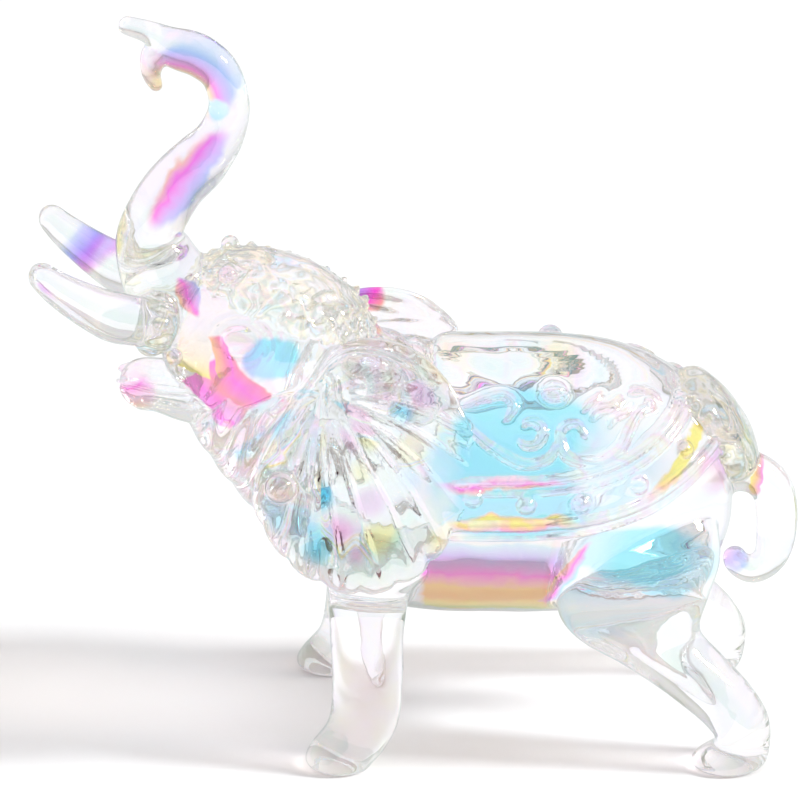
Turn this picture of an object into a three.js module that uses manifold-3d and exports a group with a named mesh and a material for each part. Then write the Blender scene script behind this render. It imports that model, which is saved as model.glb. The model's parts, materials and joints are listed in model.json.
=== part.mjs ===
// Crystal glass elephant with a raised trunk, in millimetres.
// +Z is up, the elephant faces -X, and its left side is -Y.
// Every bit of glass is its own closed solid, with a small gap to the one it was applied to.

import * as THREE from "three";
import { mergeVertices } from "three/addons/utils/BufferGeometryUtils.js";
import Module from "manifold-3d";

const wasm = await Module();
wasm.setup();

// ---------------------------------------------------------------- driving dimensions
const GAP = 0.3; // between touching pieces
const BARREL = {
  middle: 20.5,
  halfLength: 46.5,
  halfWidth: 24,
  halfHeight: 28.2,
  axisHeight: 54.5,
  rumpDrop: 4, // how far the axis falls at the rear end
  endPower: 3, // a higher power keeps the full section nearer to the ends
  endBluntness: 0.45, // a lower one closes the ends more squarely
};
const HEAD = {
  centre: new THREE.Vector3(-26.5, 0, 83.5),
  half: new THREE.Vector3(22.5, 16.5, 17.2),
  tilt: 22, // degrees, brow up
};
const HEADDRESS = { edge: 54, scallop: 3, scallops: 11, outerLift: 1.9, rimLift: 1.2, innerLift: 0.6 };
const BLANKET = { front: 7, reach: 65, drop: 95, lift: 0.5, thickness: 1.3 }; // reach in X, drop in degrees
const INNER_TRIM = { front: 9.5, reach: 55.5, drop: 71, radius: 1.0 };
const OUTER_TRIM = { front: 9.5, reach: 63, drop: 88.5, radius: 1.2 };
const STANCE = { left: { width: 21, forward: 0 }, right: { width: 23, forward: 2.6 } }; // at the feet
const SCROLL_RADIUS = 1.0;
const EAR = {
  root: new THREE.Vector2(-15.5, 79.5), // x, z where the ridges fan out from
  rootDepth: 15, // how far the root is from the middle plane
  leanPerDrop: 0.33,
  leanPerReach: 0.12,
  ridges: 15,
  ridgeHeight: 0.55,
  scallop: 0.012, // share of the reach
  outerBelly: 2.2,
  innerBelly: 1.5,
};

// ---------------------------------------------------------------- glass
const CLEAR = { color: 0xe9e4f2, roughness: 0.04, metalness: 0 };
const IRIDESCENT = { color: 0xcfe3f7, roughness: 0.04, metalness: 0 };
const TEXTURED = { color: 0xe4e0dc, roughness: 0.12, metalness: 0 };

// ---------------------------------------------------------------- solids from three.js geometry
const degrees = (angle) => (angle * Math.PI) / 180;

/** Moves every vertex of a geometry to place(vertex). */
function reshape(geometry, place) {
  const position = geometry.attributes.position;
  const vertex = new THREE.Vector3();
  for (let i = 0; i < position.count; i++) {
    const moved = place(vertex.fromBufferAttribute(position, i).clone());
    position.setXYZ(i, moved.x, moved.y, moved.z);
  }
  return geometry;
}

/** Six times the volume that the triangles enclose; negative when they face inwards. */
function signedVolume(positions, triangles) {
  const [a, b, c] = [new THREE.Vector3(), new THREE.Vector3(), new THREE.Vector3()];
  let total = 0;
  for (let i = 0; i < triangles.length; i += 3) {
    a.fromArray(positions, 3 * triangles[i]);
    b.fromArray(positions, 3 * triangles[i + 1]);
    c.fromArray(positions, 3 * triangles[i + 2]);
    total += a.dot(b.cross(c));
  }
  return total;
}

/** A solid from a closed geometry: shared vertices merged, collapsed triangles dropped, faces outward. */
function solid(geometry) {
  const bare = geometry.clone();
  bare.deleteAttribute("normal");
  bare.deleteAttribute("uv");
  const merged = mergeVertices(bare, 1e-3);
  const positions = merged.attributes.position.array;
  let triangles = [];
  const index = merged.index.array;
  for (let i = 0; i < index.length; i += 3) {
    const [a, b, c] = [index[i], index[i + 1], index[i + 2]];
    if (a !== b && b !== c && c !== a) triangles.push(a, b, c);
  }
  if (signedVolume(positions, triangles) < 0) triangles = triangles.reverse();
  const mesh = new wasm.Mesh({
    numProp: 3,
    vertProperties: Float32Array.from(positions),
    triVerts: Uint32Array.from(triangles),
  });
  return new wasm.Manifold(mesh);
}

/** The same solid on the other side of the figurine's middle plane. */
function mirrored(geometry) {
  return geometry.clone().applyMatrix4(new THREE.Matrix4().makeScale(1, -1, 1));
}

const SMALL = [10, 6]; // steps around and along a bead

/** An ellipsoid whose surface is given by place(direction), for a unit direction. */
function ball(place, around = 22, along = 12) {
  return reshape(new THREE.SphereGeometry(1, around, along), (v) => place(v.normalize()));
}

/** An ellipsoid with its own centre, half sizes and tilt about Y. */
function ellipsoid(centre, half, tilt = 0, around = 22, along = 12) {
  const turn = new THREE.Euler(0, degrees(tilt), 0);
  return ball((d) => d.multiply(half).applyEuler(turn).add(centre), around, along);
}

/** A round bead. */
function bead(centre, radius, grow) {
  return ellipsoid(centre, new THREE.Vector3(radius, radius, radius).addScalar(grow), 0, ...SMALL);
}

/**
 * A tapering round bar through stations [x, y, z, halfSide, halfUp].
 * Its sections stand square to the path, or lie level when level is true.
 * roundStart and roundEnd are how far from an end it starts to close into a dome.
 */
function bar(stations, { sides, rings, level = false, roundStart = 0, roundEnd = 0, grow = 0 }) {
  const path = new THREE.CatmullRomCurve3(stations.map(([x, y, z]) => new THREE.Vector3(x, y, z)));
  const halves = new THREE.CatmullRomCurve3(stations.map((s) => new THREE.Vector3(s[3], s[4], 0)));
  const length = path.getLength();
  const start = roundStart ? -grow : 0;
  const end = roundEnd ? length + grow : length;
  const dome = (depth, reach) => Math.sqrt(1 - (1 - Math.min(depth / reach, 1)) ** 2);
  return reshape(new THREE.CylinderGeometry(1, 1, 1, sides, rings), (v) => {
    const crowdedToEnds = (1 - Math.cos(Math.PI * (0.5 - v.y))) / 2;
    const run = start + (end - start) * crowdedToEnds;
    const onPath = THREE.MathUtils.clamp(run / length, 0, 1);
    const t = path.getUtoTmapping(onPath);
    const tangent = path.getTangent(t);
    const side = new THREE.Vector3(0, 1, 0);
    if (!level) side.projectOnPlane(tangent).normalize();
    const up = level ? new THREE.Vector3(1, 0, 0) : tangent.clone().cross(side);
    const half = halves.getPoint(t);
    let closing = 1;
    if (roundStart) closing *= dome(run - start, roundStart + grow);
    if (roundEnd) closing *= dome(end - run, roundEnd + grow);
    return path
      .getPoint(t)
      .addScaledVector(tangent, run - onPath * length)
      .addScaledVector(side, v.x * (half.x + grow) * closing)
      .addScaledVector(up, v.z * (half.y + grow) * closing);
  });
}

/** A round thread of glass along a curve. */
function thread(curve, radius, steps) {
  const section = new THREE.Shape().absarc(0, 0, radius, 0, 2 * Math.PI);
  return new THREE.ExtrudeGeometry(section, { steps, extrudePath: curve, curveSegments: 3 });
}

// ---------------------------------------------------------------- the barrel of the body
/** A point on the barrel, x along it and angle in degrees from the top; negative angles are the left side. */
function barrelPoint(x, angle, grow = 0) {
  const along = THREE.MathUtils.clamp((x - BARREL.middle) / (BARREL.halfLength + grow), -1, 1);
  const fullness = (1 - Math.abs(along) ** BARREL.endPower) ** BARREL.endBluntness;
  const height = BARREL.axisHeight - BARREL.rumpDrop * Math.max(0, along) ** BARREL.endPower;
  return new THREE.Vector3(
    x,
    (BARREL.halfWidth + grow) * fullness * Math.sin(degrees(angle)),
    height + (BARREL.halfHeight + grow) * fullness * Math.cos(degrees(angle)),
  );
}

/** A point held off the barrel by lift, along the barrel's outward normal. */
function onBarrel(x, angle, lift) {
  const step = 0.05;
  const alongX = barrelPoint(x + step, angle).sub(barrelPoint(x - step, angle));
  const around = barrelPoint(x, angle + step).sub(barrelPoint(x, angle - step));
  return barrelPoint(x, angle).addScaledVector(alongX.cross(around).normalize(), lift);
}

const body = (grow = 0) =>
  ball((d) => {
    const angle = THREE.MathUtils.radToDeg(Math.atan2(d.x, d.z));
    return barrelPoint(BARREL.middle + d.y * (BARREL.halfLength + grow), angle, grow);
  }, 28, 14);

// ---------------------------------------------------------------- neck, head and headdress
const neck = (grow = 0) =>
  bar(
    [
      [-32, 0, 80, 14, 17],
      [-23, 0, 73, 17, 21],
      [-10, 0, 63, 20, 24],
      [6, 0, 56, 21, 26],
    ],
    { sides: 20, rings: 7, grow },
  );

const head = (grow = 0) => ellipsoid(HEAD.centre, HEAD.half.clone().addScalar(grow), HEAD.tilt);

/** A point held off the head. Sweep is degrees from the crown; turn is 0 at the trunk, 90 on the left. */
function onHead(sweep, turn, lift) {
  const tilt = new THREE.Euler(0, degrees(HEAD.tilt), 0);
  const [s, t] = [degrees(sweep), degrees(turn)];
  const direction = new THREE.Vector3(-Math.sin(s) * Math.cos(t), -Math.sin(s) * Math.sin(t), Math.cos(s));
  return direction.multiply(HEAD.half.clone().addScalar(lift)).applyEuler(tilt).add(HEAD.centre);
}

/** The headdress: a thin cap on the head with a scalloped edge. */
function headdress(grow = 0) {
  const { scallop, scallops, outerLift, rimLift, innerLift } = HEADDRESS;
  const edge = (turn) => HEADDRESS.edge + scallop * Math.abs(Math.cos((scallops / 2) * degrees(turn)));
  return ball((d) => {
    const turn = THREE.MathUtils.radToDeg(Math.atan2(d.x, d.z));
    const sweep = (0.5 - Math.asin(Math.abs(d.y)) / Math.PI) * 2 * edge(turn);
    const onRim = Math.abs(d.y) < 1e-6;
    const lift = d.y > 0 ? outerLift + grow : innerLift - grow;
    return onHead(sweep, turn, onRim ? rimLift : lift);
  }, 3 * scallops, 8);
}

/** A relief oval for the eye, set into the cheek. */
function eye(grow = 0) {
  const centre = new THREE.Vector3(-31, -13.6, 89.5);
  const half = new THREE.Vector3(5, 3.2, 4.2).addScalar(grow);
  return ellipsoid(centre, half, 20, 12, 6);
}

const crownBead = (grow = 0) => bead(onHead(44, 38, 3), 2, grow);

// ---------------------------------------------------------------- trunk, jaw and tusks
const trunk = (grow = 0) =>
  bar(
    [
      [-44, 0, 92, 9.5, 10],
      [-48.4, 0, 102.5, 7.8, 7.8],
      [-48.9, 0, 108.5, 6.4, 6.4],
      [-44.6, 0, 116.5, 6, 6],
      [-39.4, 0, 122, 5.7, 5.7],
      [-35.2, 0, 127.5, 4.7, 4.7],
      [-33.3, 0, 133.8, 4.1, 4.1],
      [-34.8, 0, 140.4, 4, 4],
      [-38.9, 0, 144.2, 4.2, 4.2],
      [-43.6, 0, 146, 4.2, 4],
      [-48.2, 0, 148.9, 3, 2.2],
      [-54.6, 0, 151, 2.2, 1.7],
    ],
    { sides: 14, rings: 28, roundEnd: 1.8, grow },
  );

const trunkLowerLip = (grow = 0) =>
  bar(
    [
      [-43.5, 0, 145.6, 3.6, 2.4],
      [-47.2, 0, 144.6, 3.2, 2.9],
      [-48.3, 0, 140.8, 2.2, 2],
      [-46.9, 0, 136.9, 1.2, 1.1],
    ],
    { sides: 10, rings: 7, roundEnd: 1.2, grow },
  );

const lowerJaw = (grow = 0) =>
  bar(
    [
      [-34, 0, 73.5, 9, 8],
      [-42, 0, 73.5, 8, 6.4],
      [-48, 0, 74.6, 6.6, 4.8],
      [-52, 0, 74.6, 5.6, 5.4],
      [-56.2, 0, 73.6, 4, 4],
    ],
    { sides: 14, rings: 8, roundEnd: 4, grow },
  );

const tusk = (grow = 0) =>
  bar(
    [
      [-49.4, -11.2, 92.8, 3.8, 4.2],
      [-55.4, -12.4, 94.3, 5, 5.1],
      [-61.2, -13.6, 97.4, 4.2, 4.3],
      [-66.6, -14.7, 101.3, 3.4, 3.5],
      [-71.6, -15.6, 106.2, 2.4, 2.4],
    ],
    { sides: 12, rings: 10, roundEnd: 2.6, grow },
  );

/** The ribbed rosette round the root of a tusk. */
function tuskCollar(grow = 0) {
  const half = new THREE.Vector3(4.6, 4.6, 6.6).addScalar(grow);
  const centre = new THREE.Vector3(-48, -11, 92.3);
  const tilt = new THREE.Euler(0, degrees(14), 0);
  const [ribs, ribDepth] = [10, 0.07];
  return ball((d) => {
    const around = Math.atan2(d.x, d.z);
    const ribbed = 1 + ribDepth * Math.cos(ribs * around) * (1 - d.y * d.y);
    return new THREE.Vector3(d.y, d.x * ribbed, d.z * ribbed).multiply(half).applyEuler(tilt).add(centre);
  }, 2 * ribs, 8);
}

const tuskBead = (grow = 0) => bead(new THREE.Vector3(-44, -13.2, 86.2), 1.7, grow);

// ---------------------------------------------------------------- ears
const EAR_RIM = new THREE.SplineCurve(
  [
    [-20.4, 78.5], [-12, 88.4], [-3.2, 90.4], [6, 87], [12.4, 78.6], [14.2, 70], [12, 57.4], [5, 46.6],
    [-7.6, 41.4], [-19, 44.6], [-26, 51.2], [-29.4, 59], [-27.6, 66], [-24.2, 72.4], [-20.4, 78.5],
  ].map(([x, z]) => new THREE.Vector2(x, z)),
);

/** The y of the ear's mid surface, which leans out below its root and behind it. */
function earLean(x, z) {
  return -EAR.rootDepth - EAR.leanPerDrop * (EAR.root.y - z) - EAR.leanPerReach * (x - EAR.root.x);
}

/** A fan-ribbed ear: a thin dished shell from its root to a scalloped rim. */
function ear(grow = 0) {
  return ball((d) => {
    const turn = (Math.atan2(d.x, d.z) / (2 * Math.PI) + 1) % 1;
    const out = 1 - (2 * Math.asin(Math.abs(d.y))) / Math.PI;
    const ridge = Math.cos(2 * Math.PI * EAR.ridges * turn);
    const rim = EAR_RIM.getPoint(turn);
    const reach = out * (1 + EAR.scallop * ridge * out + grow / rim.distanceTo(EAR.root));
    const spot = EAR.root.clone().lerp(rim, reach);
    const belly = Math.sqrt(Math.max(0, 1 - out ** 4));
    const outside = EAR.outerBelly * belly + EAR.ridgeHeight * ridge * Math.sin(Math.PI * out);
    const depth = d.y > 0 ? outside : -EAR.innerBelly * belly;
    return new THREE.Vector3(spot.x, earLean(spot.x, spot.y) - depth - Math.sign(d.y) * grow, spot.y);
  }, 4 * EAR.ridges, 9);
}

function earStud(grow = 0) {
  const half = new THREE.Vector3(3, 2.6, 3).addScalar(grow);
  return ellipsoid(new THREE.Vector3(-23.6, -22.2, 62), half, 0, ...SMALL);
}

// ---------------------------------------------------------------- saddle blanket and its glass threads
/** A hem line on the barrel, from the front edge (fraction 0) to the top of the back (fraction 1). */
function hemPoint({ front, reach, drop }, fraction) {
  const evenSpread = 1.6; // keeps steps of fraction about equally long in x
  const t = (fraction ** evenSpread * Math.PI) / 2;
  return { x: front + (reach - front) * Math.sin(t) ** 0.5, angle: drop * Math.cos(t) ** 0.83 };
}

/** The blanket: a thin sheet that follows the barrel, its lower corners rounded at the rear. */
function saddleBlanket(grow = 0) {
  const lastFraction = 0.86;
  const sheet = new THREE.BoxGeometry(2, 1, 1, 20, 11, 1);
  return reshape(sheet, (v) => {
    const hem = hemPoint(BLANKET, (v.y + 0.5) * lastFraction);
    const lift = v.z > 0 ? BLANKET.lift + BLANKET.thickness + grow : BLANKET.lift - grow;
    return onBarrel(hem.x, v.x * (hem.angle + grow), lift);
  });
}

const THREAD_LIFT = BLANKET.lift + BLANKET.thickness;

/** A thread along the left side of a hem line. */
function hemThread(hem) {
  const stations = 9;
  const last = 0.93;
  const points = [];
  for (let i = 0; i <= stations; i++) {
    const { x, angle } = hemPoint(hem, (i / stations) * last);
    points.push(onBarrel(x, -angle, THREAD_LIFT));
  }
  const curve = new THREE.CatmullRomCurve3(points);
  return (grow = 0) => thread(curve, hem.radius + grow, 15);
}

/** A thread through places [x, angle] on the left flank of the blanket. */
function flankThread(places, steps) {
  const points = places.map(([x, angle]) => onBarrel(x, -angle, THREAD_LIFT));
  const curve = new THREE.CatmullRomCurve3(points);
  return (grow = 0) => thread(curve, SCROLL_RADIUS + grow, steps);
}

/** Places that wind round [x, angle] from startTurn to endTurn in degrees, widening from inner to outer. */
function flankSpiral([x, angle], startTurn, endTurn, inner, outer) {
  const count = 7;
  const anglePerMm = 2.1;
  const places = [];
  for (let i = 0; i <= count; i++) {
    const turn = degrees(startTurn + ((endTurn - startTurn) * i) / count);
    const radius = inner + ((outer - inner) * i) / count;
    places.push([x + radius * Math.cos(turn), angle - anglePerMm * radius * Math.sin(turn)]);
  }
  return places;
}

/** The curls of glass on the flank: a stem, leaf and curl in front, and a scroll and leaf behind. */
const SCROLLS = {
  front_scroll_stem: flankThread([[12.6, 45], [15.4, 53], [20, 60], [25, 64], [29.4, 61], [30.6, 55]], 10),
  front_scroll_leaf: flankThread([[12.4, 40.5], [16.7, 37], [20.4, 35.5], [22.4, 40], [20.6, 47]], 9),
  front_scroll_curl: flankThread(flankSpiral([25.6, 51], 150, -150, 1.8, 3), 10),
  rear_scroll: flankThread(
    [
      [36.4, 53.5], [34.6, 47], [31.4, 50.5], [32.6, 60.5], [38, 63], [42.8, 57],
      [44.8, 47.5], [47, 38], [50, 33.5],
    ],
    20,
  ),
  rear_scroll_leaf: flankThread([[37.4, 45.5], [38.4, 40.5], [41.6, 38], [43.4, 31.5]], 6),
};

/** A bead of glass sitting on the blanket, most of it showing. */
function flankBead(x, angle, radius) {
  const standing = 0.45; // share of the radius that its centre stands off the blanket
  const centre = onBarrel(x, -angle, THREAD_LIFT + standing * radius);
  return (grow = 0) => bead(centre, radius, grow);
}

const saddleBead = flankBead(30.3, 33.5, 3);
const BORDER_BEAD_RADIUS = 2;
const BORDER_BEADS = [[14.4, 77], [24.8, 80], [35.4, 79.5], [46.6, 71], [55.4, 51]].map(([x, angle]) =>
  flankBead(x, angle, BORDER_BEAD_RADIUS),
);

// ---------------------------------------------------------------- tail
const tailRoot = (grow = 0) =>
  bar(
    [
      [55, 0, 76, 8, 4],
      [61, 0, 70.4, 10, 4.8],
      [66, 0, 63, 9, 5],
      [68.4, 0, 54, 6.4, 4.6],
    ],
    { sides: 16, rings: 8, roundStart: 5, roundEnd: 5, grow },
  );

const tail = (grow = 0) =>
  bar(
    [
      [66, 0, 55.5, 4.6, 4],
      [71, 0, 55.2, 4.6, 4.2],
      [74.8, 0, 52, 4.6, 4.3],
      [76.1, 0, 46.5, 4.4, 4.3],
      [76, 0, 40.6, 4, 4],
      [74.8, 0, 36, 3.4, 3.4],
      [71.6, 0, 33.6, 2.9, 2.9],
      [68.4, 0, 35.2, 2.6, 2.6],
      [67.6, 0, 38.6, 2.4, 2.4],
    ],
    { sides: 12, rings: 20, roundEnd: 2.4, grow },
  );

// ---------------------------------------------------------------- legs
/** Level sections from the top down to a flat sole: [x, y, z, halfWidth, halfLength]. */
const FRONT_LEG = [
  [-3, -10, 60, 9, 13],
  [-4, -16.5, 45, 9, 12],
  [-6, -17, 37.5, 7.4, 8.6],
  [-6.6, -18.6, 29, 6.8, 7.5],
  [-6.5, -19.6, 18, 6.4, 7.1],
  [-7.4, -20.4, 9.5, 6.4, 7.1],
  [-10.6, -20.8, 4, 6.6, 7.6],
  [-12.2, -21, 1.4, 6.5, 7],
  [-12, -21, 0, 5.6, 6],
];

const HIND_LEG = [
  [48, -8, 60, 9, 13],
  [48.6, -14.5, 45, 9.6, 15.4],
  [46.4, -16.5, 36, 9, 15.4],
  [47, -17, 28.5, 8, 13.2],
  [54.7, -18.5, 22.4, 7, 10.6],
  [61.8, -19.6, 16.4, 6.2, 9],
  [67.2, -20.5, 10.4, 6, 7],
  [69, -20.8, 5.4, 5.8, 5.6],
  [66.4, -21, 1.6, 6.8, 7.6],
  [66, -21, 0, 5.8, 6.6],
];

/** A leg for one side: the foot stands out to the stance width and forward, the top stays at the body. */
function leg(stations, { width, forward }) {
  const top = stations[0][2];
  const sole = stations[stations.length - 1][1];
  const placed = stations.map(([x, y, z, halfWidth, halfLength]) => {
    const down = 1 - z / top;
    return [x - forward * down, y - (width + sole) * down, z, halfWidth, halfLength];
  });
  return (grow = 0) => bar(placed, { sides: 16, rings: 16, level: true, roundStart: 12, grow });
}

// ---------------------------------------------------------------- assembly
const figurine = new THREE.Group();
figurine.name = "crystal_glass_figurine";
const applied = []; // each earlier piece grown by the gap, with its box

/** Adds a piece, cut clear of every piece that was applied before it. */
function apply(name, glass, shape, side = "left") {
  const oneSide = (grow) => (side === "right" ? mirrored(shape(grow)) : shape(grow));
  const grown = oneSide(GAP);
  grown.computeBoundingBox();
  const touching = applied.filter((other) => other.box.intersectsBox(grown.boundingBox));
  const cut = touching.reduce((piece, other) => piece.subtract(other.solid), solid(oneSide(0)));
  applied.push({ box: grown.boundingBox, solid: solid(grown) });
  const { vertProperties, triVerts } = cut.getMesh();
  const geometry = new THREE.BufferGeometry();
  geometry.setAttribute("position", new THREE.BufferAttribute(Float32Array.from(vertProperties), 3));
  geometry.setIndex(Array.from(triVerts));
  geometry.computeVertexNormals();
  const mesh = new THREE.Mesh(geometry, new THREE.MeshStandardMaterial(glass));
  mesh.name = name;
  figurine.add(mesh);
}

/** Adds a piece to each side. */
function applyPair(name, glass, shape) {
  for (const side of ["left", "right"]) apply(`${side}_${name}`, glass, shape, side);
}

apply("body", IRIDESCENT, body);
apply("neck", CLEAR, neck);
apply("head", IRIDESCENT, head);
apply("trunk", IRIDESCENT, trunk);
apply("lower_jaw", IRIDESCENT, lowerJaw);
apply("trunk_lower_lip", CLEAR, trunkLowerLip);
apply("headdress", TEXTURED, headdress);
applyPair("tusk_collar", TEXTURED, tuskCollar);
applyPair("tusk", IRIDESCENT, tusk);
applyPair("tusk_bead", CLEAR, tuskBead);
applyPair("eye", CLEAR, eye);
applyPair("crown_bead", CLEAR, crownBead);
applyPair("ear", IRIDESCENT, ear);
applyPair("ear_stud", CLEAR, earStud);
apply("tail_root", TEXTURED, tailRoot);
apply("tail", IRIDESCENT, tail);
apply("saddle_blanket", IRIDESCENT, saddleBlanket);
for (const side of ["left", "right"]) {
  apply(`${side}_front_leg`, CLEAR, leg(FRONT_LEG, STANCE[side]), side);
  apply(`${side}_hind_leg`, CLEAR, leg(HIND_LEG, STANCE[side]), side);
}
applyPair("inner_trim", CLEAR, hemThread(INNER_TRIM));
applyPair("outer_trim", CLEAR, hemThread(OUTER_TRIM));
for (const [name, scroll] of Object.entries(SCROLLS)) applyPair(name, CLEAR, scroll);
applyPair("saddle_bead", CLEAR, saddleBead);
BORDER_BEADS.forEach((shape, i) => applyPair(`border_bead_${i + 1}`, CLEAR, shape));

// The origin is the middle of the figurine's footprint, on the surface it stands on.
const box = new THREE.Box3().setFromObject(figurine);
const middle = box.getCenter(new THREE.Vector3());
figurine.position.set(-middle.x, -middle.y, -box.min.z);
figurine.updateMatrixWorld(true);

export default figurine;
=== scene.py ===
"""The looks of a crystal glass elephant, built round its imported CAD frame.

Every bit of glass is shaped on its own as a closed form. The forms are melted into one skin, as the real
glass is, and the skin is then shared out again, so that each piece keeps its own name and rides its body.
Shapes are worked out in millimetres in the designer's frame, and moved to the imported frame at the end.
"""

import json
import math

import bpy
import numpy as np
from mathutils import Euler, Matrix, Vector
from mathutils.bvhtree import BVHTree


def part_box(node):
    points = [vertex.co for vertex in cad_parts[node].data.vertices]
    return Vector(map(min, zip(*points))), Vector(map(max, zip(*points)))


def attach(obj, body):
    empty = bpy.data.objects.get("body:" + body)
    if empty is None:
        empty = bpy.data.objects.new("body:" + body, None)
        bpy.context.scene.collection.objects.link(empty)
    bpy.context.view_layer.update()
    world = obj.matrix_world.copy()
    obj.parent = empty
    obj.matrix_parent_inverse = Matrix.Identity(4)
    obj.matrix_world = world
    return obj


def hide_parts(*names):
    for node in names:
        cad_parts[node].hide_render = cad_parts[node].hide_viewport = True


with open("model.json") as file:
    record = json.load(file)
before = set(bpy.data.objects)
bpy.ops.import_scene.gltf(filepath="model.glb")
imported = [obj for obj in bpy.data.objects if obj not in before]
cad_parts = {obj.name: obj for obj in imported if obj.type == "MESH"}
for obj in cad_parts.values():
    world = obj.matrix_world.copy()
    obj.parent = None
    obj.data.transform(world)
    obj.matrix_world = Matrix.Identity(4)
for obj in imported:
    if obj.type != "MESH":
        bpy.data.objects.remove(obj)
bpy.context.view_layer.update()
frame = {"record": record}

# ---------------------------------------------------------------- driving sizes, in millimetres
MM = 0.001  # one millimetre in metres
BARREL = dict(middle=20.5, half_length=46.5, half_width=24.0, half_height=28.2,
              axis_height=54.5, rump_drop=4.0, end_power=3, end_bluntness=0.45)
HEAD_CENTRE = np.array([-26.5, 0.0, 83.5])
HEAD_HALF = np.array([22.5, 16.5, 17.2])
HEAD_TILT = math.radians(22)
EAR_ROOT = np.array([-15.5, 79.5])
EAR_RIDGES = 18
VOXEL = 0.42  # grain of the melted skin
THREAD_LIFT = 1.5  # how far the blanket's surface stands off the barrel

# The body's box says where the packing moved the figurine's frame to.
low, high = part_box("body")
SHIFT = np.array([(low.x + high.x) / 2 / MM - BARREL["middle"], (low.y + high.y) / 2 / MM, 0.0])


# ---------------------------------------------------------------- plain geometry
def smooth_path(stations):
    """A Catmull-Rom curve through the stations: its length, and its rows at distances along it."""
    stations = np.asarray(stations, float)
    padded = np.vstack([2 * stations[0] - stations[1], stations, 2 * stations[-1] - stations[-2]])
    fine = 24
    t = np.linspace(0, 1, fine, endpoint=False)[:, None]
    rows = []
    for a, b, c, d in zip(padded, padded[1:], padded[2:], padded[3:]):
        rows.append(0.5 * (2 * b + (c - a) * t + (2 * a - 5 * b + 4 * c - d) * t**2
                           + (3 * b - a - 3 * c + d) * t**3))
    dense = np.vstack(rows + [stations[-1]])
    run = np.concatenate([[0], np.cumsum(np.linalg.norm(np.diff(dense[:, :3], axis=0), axis=1))])
    return run[-1], lambda at: np.stack([np.interp(at, run, column) for column in dense.T], axis=1)


def tube_faces(rings, sides):
    """Quads between rings of points, numbered ring by ring."""
    faces = []
    for ring in range(rings - 1):
        for side in range(sides):
            after = (side + 1) % sides
            faces.append((ring * sides + side, ring * sides + after,
                          (ring + 1) * sides + after, (ring + 1) * sides + side))
    return faces


def closed_tube(rings):
    """A closed form from rings of points (ring, side, 3), each end closed by a fan to its middle."""
    count, sides, _ = rings.shape
    points = np.vstack([rings.reshape(-1, 3), rings[0].mean(0), rings[-1].mean(0)])
    faces = tube_faces(count, sides)
    start, end = count * sides, count * sides + 1
    last = (count - 1) * sides
    for side in range(sides):
        after = (side + 1) % sides
        faces.append((start, after, side))
        faces.append((end, last + side, last + after))
    return outward(points, faces)


def outward(points, faces):
    """The same form with its faces turned to point out."""
    volume = 0.0
    for face in faces:
        a = points[face[0]]
        for i in range(1, len(face) - 1):
            volume += np.dot(a, np.cross(points[face[i]], points[face[i + 1]]))
    return points, faces if volume > 0 else [face[::-1] for face in faces]


def mirrored(form):
    """The same form on the other side of the figurine's middle plane."""
    points, faces = form
    return points * [1, -1, 1], [face[::-1] for face in faces]


def ease(value, start, end):
    """A smooth step from 0 at start to 1 at end."""
    t = np.clip((value - start) / (end - start), 0, 1)
    return t * t * (3 - 2 * t)


def dome(depth, reach):
    """The share of its full section that a bar has at this depth from its rounded end."""
    return np.sqrt(np.clip(1 - (1 - np.minimum(depth / reach, 1)) ** 2, 0, 1))


def bar(stations, sides=40, step=0.9, level=False, round_start=0.0, round_end=0.0, relief=None):
    """A tapering round bar through stations (x, y, z, half side, half up), with a relief in its surface."""
    length, at = smooth_path(stations)
    count = max(12, int(length / step))
    along = np.linspace(0, 1, count)
    if round_start or round_end:
        crowded_at_ends = (1 - np.cos(np.pi * along)) / 2
        along = crowded_at_ends * 0.5 + along * 0.5
    along = along * length
    values = at(along)
    centre = values[:, :3]
    tangent = np.gradient(centre, axis=0)
    tangent /= np.linalg.norm(tangent, axis=1, keepdims=True)
    if level:
        side = np.tile([0.0, 1.0, 0.0], (count, 1))
        up = np.tile([1.0, 0.0, 0.0], (count, 1))
    else:
        side = np.array([0.0, 1.0, 0.0]) - tangent * tangent[:, 1:2]
        side /= np.linalg.norm(side, axis=1, keepdims=True)
        up = np.cross(tangent, side)
    closing = np.ones(count)
    if round_start:
        closing *= dome(along, round_start)
    if round_end:
        closing *= dome(length - along, round_end)
    turn = np.linspace(0, 2 * np.pi, sides, endpoint=False)
    swell = np.zeros((count, sides)) if relief is None else relief(along[:, None] / length, turn[None, :])
    across = (values[:, 3, None] + swell) * closing[:, None] * np.sin(turn)
    upward = (values[:, 4, None] + swell) * closing[:, None] * np.cos(turn)
    rings = centre[:, None, :] + across[:, :, None] * side[:, None, :] + upward[:, :, None] * up[:, None, :]
    return closed_tube(rings)


def thread(points, radius, step=0.8, sides=14):
    """A round thread of glass through points, with rounded ends. Radius may be one value per point."""
    points = np.asarray(points, float)
    radii = np.broadcast_to(np.asarray(radius, float), (len(points),))
    length, at = smooth_path(np.column_stack([points, radii]))
    count = max(8, int(length / step))
    along = np.linspace(0, length, count)
    values = at(along)
    centre = values[:, :3]
    tangent = np.gradient(centre, axis=0)
    tangent /= np.linalg.norm(tangent, axis=1, keepdims=True)
    side = np.cross(tangent[0], [0.3, 0.2, 1.0])
    side /= np.linalg.norm(side)
    closing = dome(along + 0.05, values[0, 3]) * dome(length - along + 0.05, values[-1, 3])
    turn = np.linspace(0, 2 * np.pi, sides, endpoint=False)
    rings = []
    for i in range(count):
        side = side - tangent[i] * np.dot(side, tangent[i])
        side /= np.linalg.norm(side)
        up = np.cross(tangent[i], side)
        size = values[i, 3] * closing[i]
        rings.append(centre[i] + size * (np.outer(np.cos(turn), side) + np.outer(np.sin(turn), up)))
    return closed_tube(np.array(rings))


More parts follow.
